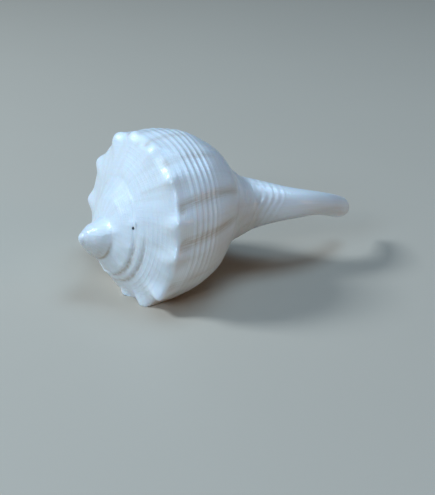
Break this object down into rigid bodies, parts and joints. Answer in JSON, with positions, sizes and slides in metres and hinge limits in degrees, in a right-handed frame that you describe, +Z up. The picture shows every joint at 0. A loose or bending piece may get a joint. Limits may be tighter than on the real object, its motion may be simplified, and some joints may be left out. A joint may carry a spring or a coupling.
{
  "type": "conch shell",
  "caption": "Sinistral knobbed whelk shell lying on its mouth, with a low stepped spire, a knobbed shoulder, a wide sloping ramp and a long narrow canal open below.",
  "frame": {"origin": "middle of the bounding box, on the surface that the shell lies on", "axes": "+X along the shell's axis, from the apex to the tip of the canal; -Y the side that shows the ramp; +Z up; it lies on its mouth, on two knobs and the lip's edge"},
  "size_m": [0.089, 0.0554, 0.045],
  "materials": {
    "shell": "bleached, worn shell with a low natural gloss, tan in the sutures"
  },
  "bodies": {
    "root": {"whelk_shell": "shell"}
  },
  "joints": []
}
